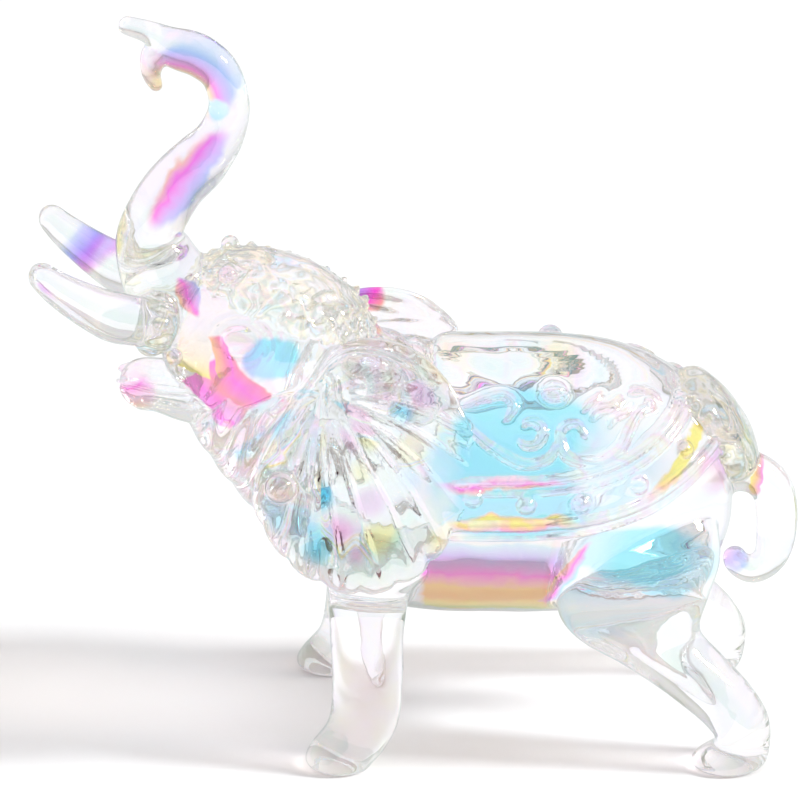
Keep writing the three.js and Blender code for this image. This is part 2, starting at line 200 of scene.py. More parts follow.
def ball(place, around=48, along=28):
    """A closed form whose surface is place(directions): unit directions with their pole along Y."""
    polar = np.linspace(0, np.pi, along)
    polar[0], polar[-1] = 0.02, np.pi - 0.02
    turn = np.linspace(0, 2 * np.pi, around, endpoint=False)
    p, t = np.meshgrid(polar, turn, indexing="ij")
    directions = np.stack([np.sin(p) * np.sin(t), np.cos(p), np.sin(p) * np.cos(t)], axis=-1)
    return closed_tube(place(directions))


def ellipsoid(centre, half, tilt=0.0, around=32, along=20):
    """An ellipsoid with its own centre, half sizes and tilt about Y in radians."""
    return ball(lambda d: tilted(d * half, tilt) + centre, around, along)


def tilted(points, angle):
    """Points turned about Y."""
    x, y, z = points[..., 0], points[..., 1], points[..., 2]
    cos, sin = math.cos(angle), math.sin(angle)
    return np.stack([x * cos + z * sin, y, z * cos - x * sin], -1)


# ---------------------------------------------------------------- the barrel of the body
def barrel_point(x, angle):
    """Points on the barrel; angle is in degrees from the top, and negative angles are the left side."""
    along = np.clip((x - BARREL["middle"]) / BARREL["half_length"], -1, 1)
    fullness = (1 - np.abs(along) ** BARREL["end_power"]) ** BARREL["end_bluntness"]
    height = BARREL["axis_height"] - BARREL["rump_drop"] * np.maximum(0, along) ** 3
    a = np.radians(angle)
    return np.stack([x + 0 * a, BARREL["half_width"] * fullness * np.sin(a),
                     height + BARREL["half_height"] * fullness * np.cos(a)], axis=-1)


def on_barrel(x, angle, lift):
    """Points held off the barrel by lift."""
    x, angle = np.broadcast_arrays(np.asarray(x, float), np.asarray(angle, float))
    step = 0.05
    along = barrel_point(x + step, angle) - barrel_point(x - step, angle)
    around = barrel_point(x, angle + step) - barrel_point(x, angle - step)
    normal = np.cross(along, around)
    normal /= np.linalg.norm(normal, axis=-1, keepdims=True)
    return barrel_point(x, angle) + normal * np.asarray(lift)[..., None]


def body():
    def place(d):
        angle = np.degrees(np.arctan2(d[..., 0], d[..., 2]))
        return barrel_point(BARREL["middle"] + d[..., 1] * BARREL["half_length"], angle)
    return ball(place, 96, 70)


def neck():
    """The neck, with shallow folds that are deepest on its sides."""
    def folds(along, turn):
        return 0.35 * np.sin(38 * along + 2.2 * np.sin(3 * turn)) * (0.4 + np.abs(np.sin(turn)))
    stations = [(-32, 0, 80, 14, 17), (-23, 0, 73, 17, 21), (-10, 0, 63, 20, 24), (6, 0, 56, 21, 26)]
    return bar(stations, sides=90, step=0.8, relief=folds)


# ---------------------------------------------------------------- head
def on_head(sweep, turn, lift):
    """Points held off the head; sweep is degrees from the crown, turn is 0 to the trunk, 90 to the left."""
    s, t = np.radians(sweep), np.radians(turn)
    parts = np.broadcast_arrays(-np.sin(s) * np.cos(t), -np.sin(s) * np.sin(t), np.cos(s) + 0 * t)
    half = HEAD_HALF + np.asarray(lift)[..., None]
    return tilted(np.stack(parts, -1) * half, HEAD_TILT) + HEAD_CENTRE


def head():
    """The head, with fine brow lines round both eyes."""
    forms = [ellipsoid(HEAD_CENTRE, HEAD_HALF, HEAD_TILT, 72, 48)]
    for reach, start, end, radius in BROW_LINES:
        arc = brow_line(reach, start, end, radius)
        forms += [arc, mirrored(arc)]
    return forms


def headdress():
    """A thin cap on the head, with a scalloped edge and a rippled surface, and a fringe of drops."""
    def edge_at(turn):
        return 54 + 3.4 * np.abs(np.cos(np.radians(5.5 * turn)))

    def place(d):
        turn = np.degrees(np.arctan2(d[..., 0], d[..., 2]))
        edge = edge_at(turn)
        sweep = (0.5 - np.arcsin(np.abs(d[..., 1])) / np.pi) * 2 * edge
        rim = np.clip((1 - sweep / edge) * 6, 0, 1)
        ripple = np.sin(0.5 * sweep + 2.2 * np.sin(0.12 * turn))
        ripple = ripple * np.sin(0.26 * turn + 1.6 * np.sin(0.24 * sweep))
        outer = 0.4 + 1.1 * np.sqrt(rim) + 0.35 * ripple * rim * ease(sweep, 12, 30)
        return on_head(sweep, turn, np.where(d[..., 1] > 0, outer, -0.8))
    forms = [ball(place, 200, 90)]
    for turn in np.arange(-170, 180, 16):
        for row, half in ((3, (0.8, 0.8, 2.4)), (14, (1.3, 0.7, 3.0))):
            centre = on_head(float(edge_at(turn + row)) - row, float(turn + row / 2), 0.5)
            forms.append(ellipsoid(centre, np.array(half), 0.5, 20, 14))
    return forms


def head_side(x, z, lift):
    """The place on the head's left side over (x, z), held off it by lift."""
    offset = tilted(np.array([x - HEAD_CENTRE[0], 0.0, z - HEAD_CENTRE[2]]), -HEAD_TILT)
    share = 1 - (offset[0] / HEAD_HALF[0]) ** 2 - (offset[2] / HEAD_HALF[2]) ** 2
    return np.array([x, -HEAD_HALF[1] * math.sqrt(max(0.0, share)) - lift, z])


EYE = (-31.0, 89.5)
BROW_LINES = ((4.6, -40, 200, 0.45), (6.0, 5, 150, 0.4), (3.4, 190, 350, 0.35))  # reach, start, end, radius


def brow_line(reach, start, end, radius):
    """A fine raised arc round the eye, between two directions in degrees."""
    turns = np.radians(np.linspace(start, end, 9))
    places = [head_side(EYE[0] + 1.25 * reach * math.cos(turn), EYE[1] + reach * math.sin(turn), -0.1)
              for turn in turns]
    return thread(places, radius, 0.5, 12)


def eye():
    return ellipsoid(np.array([EYE[0], -13.4, EYE[1]]), np.array([4.6, 2.6, 3.7]), math.radians(8))


def crown_bead():
    return ellipsoid(on_head(44, 38, 2.2), np.array([1.9, 1.9, 1.9]))


# ---------------------------------------------------------------- trunk, jaw and tusks
def trunk():
    stations = [
        (-44, 0, 92, 9.5, 10), (-48.4, 0, 102.5, 7.8, 7.8), (-48.9, 0, 108.5, 6.4, 6.4),
        (-44.6, 0, 116.5, 6, 6), (-39.4, 0, 122, 5.7, 5.7), (-35.2, 0, 127.5, 4.7, 4.7),
        (-33.3, 0, 133.8, 4.1, 4.1), (-34.8, 0, 140.4, 4, 4), (-38.9, 0, 144.2, 4.2, 4.2),
        (-43.6, 0, 146, 4.2, 4), (-48.2, 0, 148.9, 3, 2.2), (-54.6, 0, 151, 2.2, 1.7),
    ]
    return bar(stations, sides=44, step=0.7, round_end=1.8)


def trunk_lower_lip():
    stations = [(-43.5, 0, 145.6, 3.6, 2.4), (-47.2, 0, 144.6, 3.2, 2.9), (-48.3, 0, 140.8, 2.2, 2),
                (-46.9, 0, 136.9, 1.2, 1.1)]
    return bar(stations, sides=28, step=0.4, round_end=1.2)


def lower_jaw():
    """The jaw, with a rolled lip and a crease along each side."""
    stations = [(-34, 0, 73.5, 9, 8), (-42, 0, 73.5, 8, 6.4), (-48, 0, 74.4, 6.6, 5.3),
                (-52, 0, 74.6, 5.6, 5.2), (-56.2, 0, 74.0, 3.8, 3.8)]
    lip = [(-38, -8.6, 77.5), (-43, -8.0, 76.6), (-48, -6.6, 76.6), (-52.5, -5.0, 77.0),
           (-56.5, -2.6, 76.6)]
    crease = [(-37, -9.2, 73.5), (-42, -8.6, 73.0), (-47, -7.2, 73.4), (-51.5, -5.8, 73.8)]
    forms = [bar(stations, sides=48, step=0.6, round_end=4)]
    for points, radius in ((lip, 0.8), (crease, 0.6)):
        fold = thread(np.array(points), radius)
        forms += [fold, mirrored(fold)]
    return forms


def tusk():
    stations = [(-47.5, -11, 92.4, 4.6, 4.6), (-55.4, -12.4, 94.3, 5, 5.1), (-61.2, -13.6, 97.4, 4.2, 4.3),
                (-66.6, -14.7, 101.3, 3.4, 3.5), (-71.6, -15.6, 106.2, 2.4, 2.4)]
    return bar(stations, sides=36, step=0.6, round_end=2.6)


def tusk_collar():
    """The ribbed rosette round the root of a tusk."""
    def place(d):
        around = np.arctan2(d[..., 0], d[..., 2])
        ribbed = 1 + 0.09 * np.cos(10 * around) * (1 - d[..., 1] ** 2)
        local = np.stack([d[..., 1], d[..., 0] * ribbed, d[..., 2] * ribbed], -1) * [4.6, 4.6, 6.6]
        return tilted(local, math.radians(14)) + [-48, -11, 92.3]
    return ball(place, 90, 30)


def tusk_bead():
    return ellipsoid(np.array([-44.3, -13.2, 86.2]), np.array([1.7, 1.7, 1.7]))


# ---------------------------------------------------------------- ears
EAR_RIM = [
    (-20.4, 78.5), (-12, 88.4), (-3.2, 90.4), (6, 87), (12.4, 78.6), (14.2, 70), (12, 57.4), (5, 46.6),
    (-7.6, 41.4), (-19, 44.6), (-26, 51.2), (-29.4, 59), (-27.6, 66), (-24.2, 72.4), (-20.4, 78.5),
]


def ear_lean(x, z):
    """The ear's mid surface leans out from its root: y for a place in x and z."""
    return -15 - 0.33 * (EAR_ROOT[1] - z) - 0.12 * (x - EAR_ROOT[0])


def ear():
    """A fan-ribbed ear: rounded ribs sweep from its root to a scalloped rim, under a smooth rolled edge."""
    rim = np.array(EAR_RIM)
    length, at = smooth_path(np.column_stack([rim, np.zeros(len(rim))]))

    def place(d):
        turn = (np.arctan2(d[..., 0], d[..., 2]) / (2 * np.pi)) % 1
        out = 1 - 2 * np.arcsin(np.clip(np.abs(d[..., 1]), 0, 1)) / np.pi
        sweep = 0.07 * (1 - out) * (1 - ease(turn, 0.45, 0.7))
        ribbed = ease(turn, 0.2, 0.34) * (1 - ease(turn, 0.9, 0.98))
        rib = ribbed * (1 - np.exp(-(((turn * EAR_RIDGES + 0.5) % 1 - 0.5) / 0.13) ** 2))
        edge = at(((turn - sweep) % 1 * length).ravel()).reshape(*turn.shape, 3)[..., :2]
        lobe = ribbed * np.abs(np.cos(np.pi * EAR_RIDGES * turn)) ** 0.6
        reach = out * (0.985 + 0.03 * lobe * out)
        spot = EAR_ROOT + (edge - EAR_ROOT) * reach[..., None]
        belly = np.sqrt(np.maximum(0, 1 - out**6))
        roll = np.exp(-((out - 0.88) / 0.075) ** 2) * (1 - 0.6 * ribbed)
        trough = np.exp(-((out - 0.7) / 0.08) ** 2) * (1 - ribbed)
        rib = rib * ease(out, 0.05, 0.4) * (1 - out**10)
        outer = 1.1 * belly + 0.75 * rib + 1.5 * roll - 0.9 * trough
        depth = np.where(d[..., 1] > 0, outer, -1.5 * belly)
        return np.stack([spot[..., 0], ear_lean(spot[..., 0], spot[..., 1]) - depth, spot[..., 1]], -1)
    points_per_rib = 18
    return ball(place, points_per_rib * EAR_RIDGES, 64)


def ear_stud():
    return ellipsoid(np.array([-23.6, -22.2, 62]), np.array([3, 2.6, 3]))


# ---------------------------------------------------------------- blanket and its glass threads
def hem_point(hem, fraction):
    """A point of a hem line on the barrel, from the front edge (0) to the top of the back (1)."""
    front, reach, drop = hem
    t = fraction**1.6 * np.pi / 2
    return front + (reach - front) * np.sin(t) ** 0.5, drop * np.cos(t) ** 0.83


# Hem lines: front edge, rear reach, and how far they drop down the flank in degrees.
BLANKET = (7, 65, 95)
INNER_TRIM = (9.5, 55.5, 71)
INNER_TRIM_RIDGE = (9.5, 57.2, 76)
OUTER_TRIM = (9.5, 63, 88.5)
OUTER_TRIM_RIDGE = (9.5, 64.2, 94)


def saddle_blanket():
    """A thin sheet over the back, its lower corners rounded at the rear."""
    along, around = 90, 130
    u = np.linspace(0, 0.86, along)
    v = np.concatenate([np.linspace(-1, 1, around), np.linspace(1, -1, around)])
    top = np.concatenate([np.ones(around), np.zeros(around)])
    x, drop = hem_point(BLANKET, u)
    standing = THREAD_LIFT * ease(x, BLANKET[0] - 2, BLANKET[0] + 2)
    lift = np.where(top[None, :] > 0, standing[:, None], -1.0)
    rings = on_barrel(x[:, None], drop[:, None] * v[None, :], lift)
    return closed_tube(rings)


def hem_thread(hem, radius):
    """A thread of glass laid along a hem line on the left flank."""
    x, angle = hem_point(hem, np.linspace(0, 0.93, 14))
    return thread(on_barrel(x, -angle, np.full(14, THREAD_LIFT)), radius)


def flank_thread(places, radius):
    """A thread through places (x, degrees from the top) on the left flank of the blanket."""
    x, angle = np.array(places, float).T
    taper = 0.5 + 0.5 * np.sin(np.pi * np.linspace(0, 1, len(x))) ** 0.7
    return thread(on_barrel(x, -angle, np.full(len(x), THREAD_LIFT)), radius * taper)


def spiral(centre, start, end, inner, outer, count=9):
    """Places on the flank that wind round a centre from a start to an end direction, in degrees."""
    turn = np.radians(np.linspace(start, end, count))
    radius = np.linspace(inner, outer, count)
    return np.column_stack([centre[0] + radius * np.cos(turn), centre[1] - 2.1 * radius * np.sin(turn)])


SCROLLS = {
    "front_scroll_stem": [(12.6, 45), (15.4, 53), (20, 60), (25, 64), (29.4, 61), (30.6, 55)],
    "front_scroll_leaf": [(12.4, 40.5), (16.7, 37), (20.4, 35.5), (22.4, 40), (20.6, 47)],
    "front_scroll_curl": spiral((25.6, 51), 150, -150, 1.8, 3),
    "rear_scroll": [(36.4, 53.5), (34.6, 47), (31.4, 50.5), (32.6, 60.5), (38, 63), (42.8, 57),
                    (44.8, 47.5), (47, 38), (50, 33.5)],
    "rear_scroll_leaf": [(37.4, 45.5), (38.4, 40.5), (41.6, 38), (43.4, 31.5)],
}
REAR_LEAVES = [
    [(36.0, 42.5), (36.6, 38.5), (38.4, 35.5), (39.4, 31.5)],
    [(40.6, 48.5), (41.6, 43.5), (44.2, 40.0), (45.6, 34.5)],
    [(44.6, 30.0), (46.6, 26.5), (49.6, 27.0), (51.0, 30.0)],
]
BORDER_BEADS = [(14.4, 77), (24.8, 80), (35.4, 79.5), (46.6, 71), (55.4, 51)]


def flank_bead(x, angle, radius):
    """A bead sunk just over halfway into the blanket's left flank."""
    return ellipsoid(on_barrel(x, -angle, THREAD_LIFT - 0.15 * radius), np.array([radius] * 3), 0.0, 28, 18)


# ---------------------------------------------------------------- tail and legs
def tail_root():
    stations = [(55, 0, 76, 8, 4), (61, 0, 70.4, 10, 4.8), (66, 0, 63, 9, 5), (68.4, 0, 54, 6.4, 4.6)]
    return bar(stations, sides=60, step=0.6, round_start=5, round_end=5)


def tail():
    stations = [
        (66, 0, 55.5, 4.6, 4), (71, 0, 55.2, 4.6, 4.2), (74.8, 0, 52, 4.6, 4.3), (76.1, 0, 46.5, 4.4, 4.3),
        (76, 0, 40.6, 4, 4), (74.8, 0, 36, 3.4, 3.4), (71.6, 0, 33.6, 2.9, 2.9), (68.4, 0, 35.2, 2.6, 2.6),
        (67.6, 0, 38.6, 2.4, 2.4),
    ]
    return bar(stations, sides=36, step=0.6, round_end=2.4)


FRONT_LEG = [
    (-3, -10, 60, 9, 13), (-4, -16.5, 45, 9, 12), (-6, -17, 37.5, 7.4, 8.6), (-6.6, -18.6, 29, 6.8, 7.5),
    (-6.5, -19.6, 18, 6.4, 7.1), (-7.4, -20.4, 9.5, 6.4, 7.1), (-10.6, -20.8, 4, 6.6, 7.6),
    (-12.2, -21, 1.4, 6.5, 7), (-12, -21, 0, 5.6, 6),
]
HIND_LEG = [
    (48, -8, 60, 9, 13), (48.6, -14.5, 45, 9.6, 15.4), (46.4, -16.5, 36, 9, 15.4), (47, -17, 28.5, 8, 13.2),
    (54.7, -18.5, 22.4, 7, 10.6), (61.8, -19.6, 16.4, 6.2, 9), (67.2, -20.5, 10.4, 6, 7),
    (69, -20.8, 5.4, 5.8, 5.6), (66.4, -21, 1.6, 6.8, 7.6), (66, -21, 0, 5.8, 6.6),
]
STANCE = {"left": (21, 0.0), "right": (23, 2.6)}


def leg(stations, width, forward):
    """A leg whose foot stands out to the stance width and forward, while its top stays at the body."""
    top, sole = stations[0][2], stations[-1][1]
    placed = [(x - forward * (1 - z / top), y - (width + sole) * (1 - z / top), z, half_width, half_length)
              for x, y, z, half_width, half_length in stations]
    return bar(placed, sides=44, step=0.7, level=True, round_start=12)


# ---------------------------------------------------------------- every form, by its CAD node's name
def all_forms():
    """Every closed form of glass, in lists by the name of the CAD node they stand for."""
    forms = {
        "body": body(), "neck": neck(), "head": head(), "trunk": trunk(), "lower_jaw": lower_jaw(),
        "trunk_lower_lip": trunk_lower_lip(), "headdress": headdress(), "tail_root": tail_root(),
        "tail": tail(), "saddle_blanket": saddle_blanket(),
    }
    one_side = {
        "tusk_collar": tusk_collar(), "tusk": tusk(), "tusk_bead": tusk_bead(), "eye": eye(),
        "crown_bead": crown_bead(), "ear": ear(), "ear_stud": ear_stud(),
        "inner_trim": [hem_thread(INNER_TRIM, 1.0), hem_thread(INNER_TRIM_RIDGE, 0.6)],
        "outer_trim": [hem_thread(OUTER_TRIM, 1.2), hem_thread(OUTER_TRIM_RIDGE, 0.6)],
        "saddle_bead": flank_bead(30.3, 33.5, 2.7),
    }
    for name, places in SCROLLS.items():
        one_side[name] = flank_thread(places, 1.1)
    leaves = [flank_thread(places, 0.8) for places in REAR_LEAVES]
    one_side["rear_scroll_leaf"] = [one_side["rear_scroll_leaf"], *leaves, flank_bead(48.8, 32.5, 1.1)]
    for number, (x, angle) in enumerate(BORDER_BEADS, 1):
        one_side[f"border_bead_{number}"] = flank_bead(x, angle, 2.0)
    for name, group in one_side.items():
        group = group if isinstance(group, list) else [group]
        forms[f"left_{name}"] = group
        forms[f"right_{name}"] = [mirrored(form) for form in group]
    for side, (width, forward) in STANCE.items():
        for name, stations in (("front_leg", FRONT_LEG), ("hind_leg", HIND_LEG)):
            form = leg(stations, width, forward)
            forms[f"{side}_{name}"] = form if side == "left" else mirrored(form)
    return {name: form if isinstance(form, list) else [form] for name, form in forms.items()}


# ---------------------------------------------------------------- melting the forms into one skin
def blender_mesh(name, points, faces):
    """A mesh from points in millimetres in the designer's frame."""
    mesh = bpy.data.meshes.new(name)
    mesh.from_pydata([tuple(p) for p in (points + SHIFT) * MM], [], faces)
    return mesh


def melt(forms):
    """One skin round all the forms: its points in metres, quads and edges, and the forms' own."""
    points, faces, count = [], [], 0
    for form_points, form_faces in [form for group in forms.values() for form in group]:
        points.append(form_points)
        faces += [tuple(i + count for i in face) for face in form_faces]
        count += len(form_points)
    mesh = blender_mesh("melt", np.vstack(points), faces)
    holder = bpy.data.objects.new("melt", mesh)
    bpy.context.scene.collection.objects.link(holder)
    remesh = holder.modifiers.new("melt", "REMESH")
    remesh.mode = "VOXEL"
    remesh.voxel_size = VOXEL * MM
    evaluated = holder.evaluated_get(bpy.context.evaluated_depsgraph_get())
    skin = evaluated.to_mesh()
    co = np.empty(len(skin.vertices) * 3)
    skin.vertices.foreach_get("co", co)
    quads = np.empty(len(skin.loops), np.int64)
    skin.loops.foreach_get("vertex_index", quads)
    edges = np.empty(len(skin.edges) * 2, np.int64)
    skin.edges.foreach_get("vertices", edges)
    evaluated.to_mesh_clear()
    bpy.data.objects.remove(holder)
    return co.reshape(-1, 3), quads.reshape(-1, 4), edges.reshape(-1, 2), np.vstack(points), faces


def relax(co, edges, rounds, share=1.0):
    """Fire-polishes the skin: each round smooths and then swells back, so it hardly shrinks."""
    count = len(co)
    degree = np.bincount(edges.ravel(), minlength=count)[:, None]
    for _ in range(rounds):
        for amount in (0.6, -0.5):
            total = np.zeros_like(co)
            for axis in range(3):
                total[:, axis] = np.bincount(edges[:, 0], co[edges[:, 1], axis], count)
                total[:, axis] += np.bincount(edges[:, 1], co[edges[:, 0], axis], count)
            co = co + share * amount * (total / degree - co)
    return co


def vertex_normals(co, quads):
    """Area-weighted normals of the whole skin."""
    face_normal = np.cross(co[quads[:, 2]] - co[quads[:, 0]], co[quads[:, 3]] - co[quads[:, 1]])
    normals = np.zeros_like(co)
    for corner in range(4):
        for axis in range(3):
            normals[:, axis] += np.bincount(quads[:, corner], face_normal[:, axis], len(co))
    return normals / np.maximum(np.linalg.norm(normals, axis=1, keepdims=True), 1e-12)


def waviness(place):
    """How far hand-worked glass wanders off its ideal surface, in millimetres."""
    x, y, z = place.T
    slow = np.sin(0.42 * x + 1.1 * np.sin(0.31 * z)) * np.sin(0.37 * z + 0.9 * np.sin(0.27 * y + 0.2 * x))
    return 0.06 * slow * ease(z, 1.0, 6.0)


def nearest_piece(co, quads, forms, source_points, source_faces):
    """The name index of the form nearest to each face of the skin."""
    owner = []
    for index, group in enumerate(forms.values()):
        owner += [index] * sum(len(form_faces) for _, form_faces in group)
    tree = BVHTree.FromPolygons([tuple(p) for p in (source_points + SHIFT) * MM], source_faces)
    centres = co[quads].mean(1)
    return np.array([owner[tree.find_nearest(Vector(c))[2]] for c in centres])


def face_neighbours(quads):
    """Pairs of faces that share an edge."""
    ends = np.sort(np.stack([quads, np.roll(quads, -1, axis=1)], -1).reshape(-1, 2), axis=1)
    face = np.repeat(np.arange(len(quads)), 4)
    order = np.lexsort((ends[:, 1], ends[:, 0]))
    ends, face = ends[order], face[order]
    same = np.all(ends[1:] == ends[:-1], axis=1)
    return face[:-1][same], face[1:][same]


def without_islands(owner, quads, smallest=60):
    """Gives each small patch that is cut off from the rest of its piece to the piece round it."""
    first, second = face_neighbours(quads)
    for _ in range(4):
        joined = owner[first] == owner[second]
        a, b = first[joined], second[joined]
        label = np.arange(len(quads))
        while True:
            lowest = np.minimum(label[a], label[b])
            after = label.copy()
            np.minimum.at(after, label[a], lowest)
            np.minimum.at(after, label[b], lowest)
            after = after[after]
            if np.array_equal(after, label):
                break
            label = after
        size = np.bincount(label, minlength=len(label))[label]
        changed = owner.copy()
        for inside, outside in ((first, second), (second, first)):
            take = (size[inside] < smallest) & (size[outside] > size[inside])
            take &= owner[inside] != owner[outside]
            changed[inside[take]] = owner[outside[take]]
        if np.array_equal(changed, owner):
            break
        owner = changed
    return owner


# ---------------------------------------------------------------- the iridescent coating
PALETTE = {
    "clear": (0.965, 0.94, 1.0),
    "cyan": (0.15, 0.74, 0.98),
    "sky": (0.55, 0.82, 1.0),
    "blue": (0.22, 0.42, 1.0),
    "violet": (0.48, 0.30, 1.0),
    "magenta": (1.0, 0.05, 0.66),
    "pink": (1.0, 0.50, 0.80),
    "red": (1.0, 0.12, 0.22),
    "orange": (1.0, 0.38, 0.12),
    "yellow": (1.0, 0.82, 0.08),
    "cream": (1.0, 0.92, 0.62),
    "white": (0.97, 0.965, 0.93),
    "olive": (0.58, 0.58, 0.49),
}

# Each patch: centre (x, y, z), half sizes (x, y, z), turn in degrees, the axis its colours run along or
# "out" from the trunk's bend, the colours from low to high, and its soft edge as a share of its half size.
THROUGH = 900  # a half size in y that reaches through the whole figurine
SQUARE = 0.2  # patches with edges crisper than this have corners
PATCHES = [
    # trunk: its upper bend, the drop and the lens on its near side, its tip and its root
    ((-39, 0, 141), (9, THROUGH, 8), 0, "out",
     ("yellow", "orange", "magenta", "violet", "blue", "sky"), 0.3),
    ((-35, 0, 134.6), (2.2, THROUGH, 1.8), 30, "x", ("cyan", "sky"), 0.5),
    ((-41.5, 0, 120.5), (12, THROUGH, 3.6), 54, "z", ("blue", "violet", "magenta", "orange"), 0.35),
    ((-56.5, 0, 151.6), (2.6, THROUGH, 2.6), 0, "x", ("magenta", "pink"), 0.4),
    ((-55.4, 0, 109.5), (1.9, THROUGH, 6), 0, "x", ("orange", "yellow", "cream"), 0.5),
    # far tusk, jaw and throat
    ((-62, 14, 98), (12, 6, 3.4), 33, "z", ("magenta", "violet", "blue"), 0.6),
    ((-54, 0, 75), (5, THROUGH, 4), 20, "z", ("orange", "pink", "magenta", "clear"), 0.7),
    ((-26.5, 0, 70.3), (8, THROUGH, 2.0), 44, "z", ("white", "sky", "cyan", "white"), 0.5),
    # cheek, brow and the far ear's root
    ((-34.3, 0, 79.3), (6.4, THROUGH, 6.4), 45, "x", ("magenta", "magenta", "red", "magenta", "red"), 0.12),
    ((-40.2, 0, 87.2), (3.2, THROUGH, 5.0), -6, "z", ("yellow", "cream", "white"), 0.15),
    ((-35.0, 0, 86.6), (1.5, THROUGH, 4.2), 14, "x", ("orange", "red", "magenta"), 0.19),
    ((-25, 0, 86.8), (5.4, THROUGH, 4.4), 10, "x", ("blue", "cyan", "cyan"), 0.3),
    ((-41.8, 0, 97.5), (2.0, THROUGH, 3.4), 35, "x", ("orange", "magenta", "blue"), 0.25),
    ((-6, 6, 88), (3.4, 14, 3.4), -50, "x", ("blue", "magenta", "orange"), 0.3),
    # flank, its rear edge and the saddle
    ((24, 0, 66), (19, THROUGH, 14), 4, "x", ("sky", "cyan", "cyan", "cyan", "cyan", "sky"), 0.22),
    ((44, 0, 64), (9, THROUGH, 8), -30, "x", ("clear", "sky", "clear"), 0.8),
    ((20, 0, 85), (19, THROUGH, 3.4), -2, "x", ("white", "cream", "white", "white", "cream", "white"), 0.5),
    # belly and thigh
    ((18.5, 0, 41.0), (14, THROUGH, 9.6), -2, "z",
     ("yellow", "orange", "orange", "magenta", "violet", "sky"), 0.12),
    ((49, 0, 46.5), (15, THROUGH, 6.6), -12, "x", ("sky", "cyan", "cyan", "sky"), 0.3),
    ((40, 0, 36), (10, THROUGH, 6), 15, "z", ("sky", "white", "sky"), 0.5),
    ((33, 0, 42), (1.6, THROUGH, 9), -28, "x", ("orange", "magenta", "cyan"), 0.35),
    # blanket edges
    ((22, 0, 55.9), (12.5, THROUGH, 1.5), 0, "z", ("magenta", "orange", "yellow", "orange"), 0.5),
    ((20, 0, 63.6), (11, THROUGH, 1.3), 0, "z", ("orange", "magenta", "pink"), 0.6),
    ((56.5, 0, 67), (9, THROUGH, 1.5), 47, "x", ("orange", "yellow", "yellow", "orange"), 0.5),
    # rump and tail
    ((62, 0, 61), (4.0, THROUGH, 5), 20, "x", ("clear", "pink", "violet"), 0.6),
    ((71.5, 0, 56.5), (1.6, THROUGH, 5), -12, "x", ("yellow", "orange", "magenta"), 0.3),
    ((67.6, 0, 37.5), (3.0, THROUGH, 3.6), -30, "x", ("magenta", "violet", "blue"), 0.4),
]
TRUNK_BEND = (-44.0, 135.0)  # the x and z of the middle of the trunk's upper bend
TRUNK_BEND_REACH = (6.5, 14.0)  # from there to the trunk's inner and outer edge
COAT_DRIFT = 1.8  # how far the edges of the patches wander
FAR_SIDE_SHARE = 0.2  # how much of a patch shows on the right side
FAN_CENTRE = (-8, 0, 65)
FAN_HALF = (21, THROUGH, 24)
FAN_SPOT = 7.0  # the length of one spot of colour along an ear's rib
FAN_COLOURS = ("cyan", "clear", "cream", "sky", "pink", "clear", "sky", "yellow", "clear", "pink", "cyan",
               "cream")
HAZE = ("clear", "clear", "white", "clear", "white", "clear")
TEXTURED = ("white", "olive", "white", "olive", "cream", "white", "olive", "sky", "white")
# Painted glints: specks of warm and cyan colour that stand in for the coloured sparkle of light on the
# glass's ridges.
PAINTED_GLINTS = ("clear", "yellow", "orange", "magenta", "clear", "cyan", "clear")


def new_node(tree, kind, **values):
    """A node with some of its inputs or settings given by name."""
    node = tree.nodes.new(kind)
    for name, value in values.items():
        socket = node.inputs.get(name.replace("_", " ").title())
        if socket is not None:
            socket.default_value = value
        else:
            setattr(node, name, value)
    return node


def colour_ramp(tree, names, value):
    """Palette colours in order along a 0 to 1 value."""
    node = tree.nodes.new("ShaderNodeValToRGB")
    stops = node.color_ramp.elements
    for number, name in enumerate(names):
        at = number / (len(names) - 1)
        stop = stops[0] if number == 0 else stops[1] if number == 1 else stops.new(at)
        stop.position = at
        stop.color = (*PALETTE[name], 1)
    tree.links.new(value, node.inputs["Fac"])
    return node.outputs["Color"]


def mixed(tree, factor, first, second):
    """A colour mix whose factor and colours are sockets."""
    node = tree.nodes.new("ShaderNodeMix")
    node.data_type = "RGBA"
    tree.links.new(factor, node.inputs["Factor"])
    tree.links.new(first, node.inputs["A"])
    tree.links.new(second, node.inputs["B"])
    return node.outputs["Result"]


def math_node(tree, operation, first, second=None):
    """A math node; each input is a socket or a number."""
    node = tree.nodes.new("ShaderNodeMath")
    node.operation = operation
    for socket, value in zip(node.inputs, (first, second)):
        if isinstance(value, bpy.types.NodeSocket):
            tree.links.new(value, socket)
        elif value is not None:
            socket.default_value = value
    return node.outputs["Value"]


def remap(tree, value, low, high, to_low=0.0, to_high=1.0, smooth=False):
    """A value moved from one range to another and held there."""
    node = tree.nodes.new("ShaderNodeMapRange")
    node.interpolation_type = "SMOOTHSTEP" if smooth else "LINEAR"
    node.inputs["From Min"].default_value = low
    node.inputs["From Max"].default_value = high
    node.inputs["To Min"].default_value = to_low
    node.inputs["To Max"].default_value = to_high
    tree.links.new(value, node.inputs["Value"])
    return node.outputs["Result"]


def local_place(tree, place, centre, half, turn):
    """Coordinates in a patch: -1 to 1 across it on each of its own axes."""
    node = tree.nodes.new("ShaderNodeMapping")
    node.vector_type = "TEXTURE"
    node.inputs["Location"].default_value = centre
    node.inputs["Rotation"].default_value = (0, -math.radians(turn), 0)
    node.inputs["Scale"].default_value = half
    tree.links.new(place, node.inputs["Vector"])
    parts = tree.nodes.new("ShaderNodeSeparateXYZ")
    tree.links.new(node.outputs["Vector"], parts.inputs["Vector"])
    return node.outputs["Vector"], parts.outputs


def coordinate(tree, place, axis):
    """One coordinate of a place."""
    parts = tree.nodes.new("ShaderNodeSeparateXYZ")
    tree.links.new(place, parts.inputs["Vector"])
    return parts.outputs[axis]


